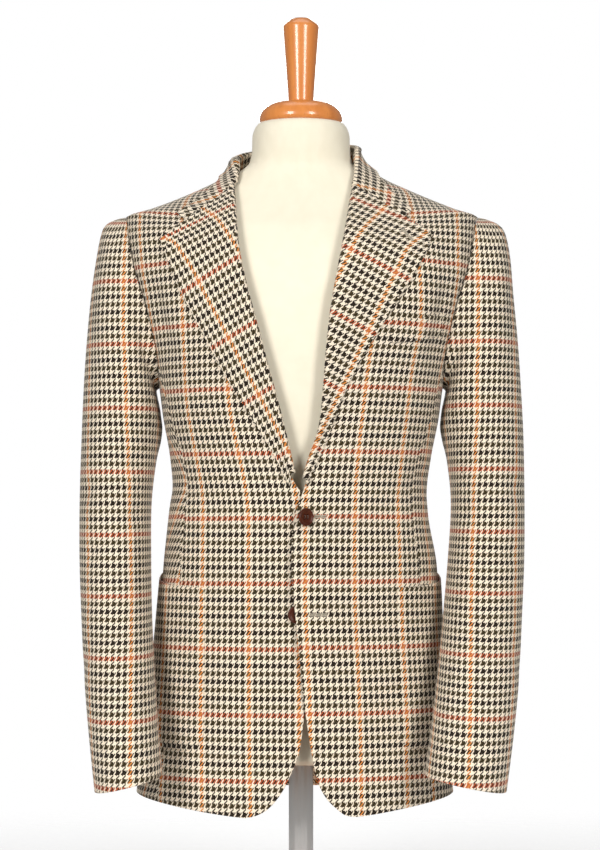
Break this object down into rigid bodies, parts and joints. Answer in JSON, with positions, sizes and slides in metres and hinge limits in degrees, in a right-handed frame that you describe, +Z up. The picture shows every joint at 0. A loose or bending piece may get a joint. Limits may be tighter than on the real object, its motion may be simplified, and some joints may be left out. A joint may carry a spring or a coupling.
{
  "type": "unstructured blazer on a dress form",
  "caption": "Soft single-breasted checked jacket with notch lapels and patch pockets, worn by a limbless dress form on a round base.",
  "frame": {"origin": "centre of the flat underside of the form's round base", "axes": "+Z up, -Y the way the coat faces, +X the wearer's left"},
  "size_m": [0.5077, 0.328, 1.0304],
  "materials": {
    "cloth": "cream, black and olive houndstooth wool and linen with an orange and rust windowpane, dry and matt",
    "horn": "dark red-brown polished horn",
    "jersey": "cream cotton jersey pulled smooth over the form",
    "beech": "turned orange-brown beech, glossy varnish",
    "steel": "brushed steel tube"
  },
  "bodies": {
    "root": {"front_left": "cloth", "front_right": "cloth", "side_left": "cloth", "side_right": "cloth", "back_left": "cloth", "back_right": "cloth", "top_sleeve_left": "cloth", "top_sleeve_right": "cloth", "under_sleeve_left": "cloth", "under_sleeve_right": "cloth", "hip_pocket_left": "cloth", "hip_pocket_right": "cloth", "lapel_left": "cloth", "lapel_right": "cloth", "collar": "cloth", "breast_pocket": "cloth", "button_upper": "horn", "button_lower": "horn", "form_torso": "jersey", "form_cap": "beech", "form_handle": "beech", "form_base": "beech", "form_stem": "steel"}
  },
  "joints": []
}
